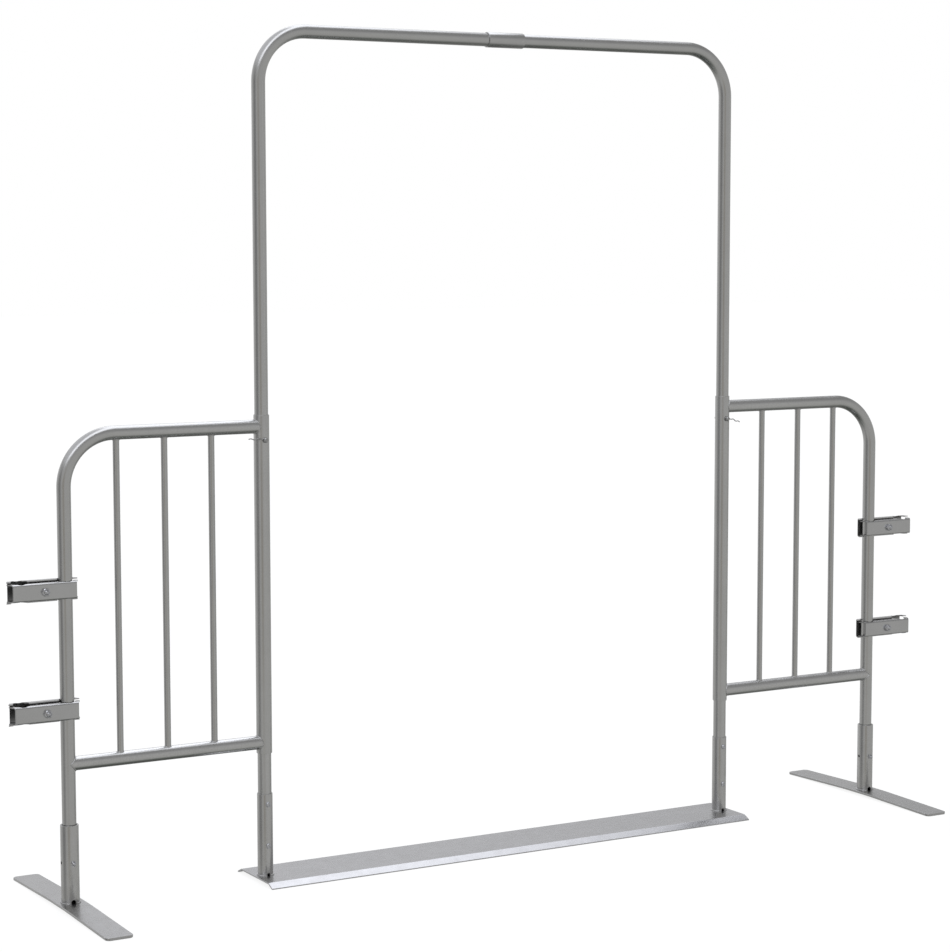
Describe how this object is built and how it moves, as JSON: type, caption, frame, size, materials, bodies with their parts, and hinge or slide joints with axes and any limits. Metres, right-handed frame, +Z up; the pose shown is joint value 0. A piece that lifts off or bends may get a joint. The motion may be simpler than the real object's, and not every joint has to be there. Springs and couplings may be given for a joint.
{
  "type": "crowd control barrier gateway",
  "caption": "Steel crowd barrier section with a walk-through arch over a threshold plate, two short barred side panels, bowed feet and swivelling linking brackets.",
  "frame": {"origin": "on the ground at the centre of the doorway, the middle of the bounding box's base", "axes": "+X along the line of barriers, +Y through the doorway away from the pin handles, +Z up"},
  "size_m": [2.612, 0.612, 2.0437],
  "materials": {
    "galvanised_tube": "hot-dip galvanised, satin",
    "galvanised_sheet": "galvanised sheet, satin",
    "bracket_steel": "galvanised pressed steel, satin",
    "fasteners": "bright zinc plated",
    "pin_steel": "zinc plated, slightly dull"
  },
  "bodies": {
    "frame": {"arch_coupler": "galvanised_tube", "arch_left": "galvanised_tube", "arch_right": "galvanised_tube", "base_bolt_lower_left": "fasteners", "base_bolt_lower_right": "fasteners", "base_bolt_upper_left": "fasteners", "base_bolt_upper_right": "fasteners", "base_nut_lower_left": "fasteners", "base_nut_lower_right": "fasteners", "base_nut_upper_left": "fasteners", "base_nut_upper_right": "fasteners", "base_socket_left": "galvanised_tube", "base_socket_right": "galvanised_tube", "bottom_rail_left": "galvanised_tube", "bottom_rail_right": "galvanised_tube", "foot_bolt_left": "fasteners", "foot_bolt_right": "fasteners", "foot_nut_left": "fasteners", "foot_nut_right": "fasteners", "foot_plate_left": "galvanised_sheet", "foot_plate_right": "galvanised_sheet", "foot_socket_left": "galvanised_tube", "foot_socket_right": "galvanised_tube", "panel_bar_left_1": "galvanised_tube", "panel_bar_left_2": "galvanised_tube", "panel_bar_left_3": "galvanised_tube", "panel_bar_right_1": "galvanised_tube", "panel_bar_right_2": "galvanised_tube", "panel_bar_right_3": "galvanised_tube", "panel_frame_left": "galvanised_tube", "panel_frame_right": "galvanised_tube", "panel_sleeve_left": "galvanised_tube", "panel_sleeve_right": "galvanised_tube", "threshold_plate": "galvanised_sheet"},
    "bracket_lower_left": {"bracket_front_lower_left": "bracket_steel", "bracket_back_lower_left": "bracket_steel", "bracket_bolt_lower_left": "fasteners", "bracket_nut_lower_left": "fasteners"},
    "bracket_upper_left": {"bracket_front_upper_left": "bracket_steel", "bracket_back_upper_left": "bracket_steel", "bracket_bolt_upper_left": "fasteners", "bracket_nut_upper_left": "fasteners"},
    "lock_pin_left": {"lock_pin_left": "pin_steel"},
    "lock_handle_left": {"lock_handle_left": "pin_steel"},
    "bracket_lower_right": {"bracket_front_lower_right": "bracket_steel", "bracket_back_lower_right": "bracket_steel", "bracket_bolt_lower_right": "fasteners", "bracket_nut_lower_right": "fasteners"},
    "bracket_upper_right": {"bracket_front_upper_right": "bracket_steel", "bracket_back_upper_right": "bracket_steel", "bracket_bolt_upper_right": "fasteners", "bracket_nut_upper_right": "fasteners"},
    "lock_pin_right": {"lock_pin_right": "pin_steel"},
    "lock_handle_right": {"lock_handle_right": "pin_steel"}
  },
  "joints": [
    {"name": "bracket_lower_left_swivel", "type": "hinge", "parent": "frame", "child": "bracket_lower_left", "pos_m": [-1.166, 0, 0.4625], "axis": [0, 0, 1], "range_deg": [-160, 160]},
    {"name": "bracket_upper_left_swivel", "type": "hinge", "parent": "frame", "child": "bracket_upper_left", "pos_m": [-1.166, 0, 0.7423], "axis": [0, 0, 1], "range_deg": [-160, 160]},
    {"name": "lock_pin_left_slide", "type": "slide", "parent": "frame", "child": "lock_pin_left", "axis": [0, -1, 0], "range_m": [0, 0.055]},
    {"name": "lock_handle_left_swivel", "type": "hinge", "parent": "lock_pin_left", "child": "lock_handle_left", "pos_m": [-0.6695, -0.0239, 1.0645], "axis": [0, 1, 0], "continuous": true},
    {"name": "bracket_lower_right_swivel", "type": "hinge", "parent": "frame", "child": "bracket_lower_right", "pos_m": [1.166, 0, 0.4642], "axis": [0, 0, 1], "range_deg": [-160, 160]},
    {"name": "bracket_upper_right_swivel", "type": "hinge", "parent": "frame", "child": "bracket_upper_right", "pos_m": [1.166, 0, 0.744], "axis": [0, 0, 1], "range_deg": [-160, 160]},
    {"name": "lock_pin_right_slide", "type": "slide", "parent": "frame", "child": "lock_pin_right", "axis": [0, -1, 0], "range_m": [0, 0.055]},
    {"name": "lock_handle_right_swivel", "type": "hinge", "parent": "lock_pin_right", "child": "lock_handle_right", "pos_m": [0.6695, -0.0239, 1.0645], "axis": [0, 1, 0], "continuous": true}
  ]
}
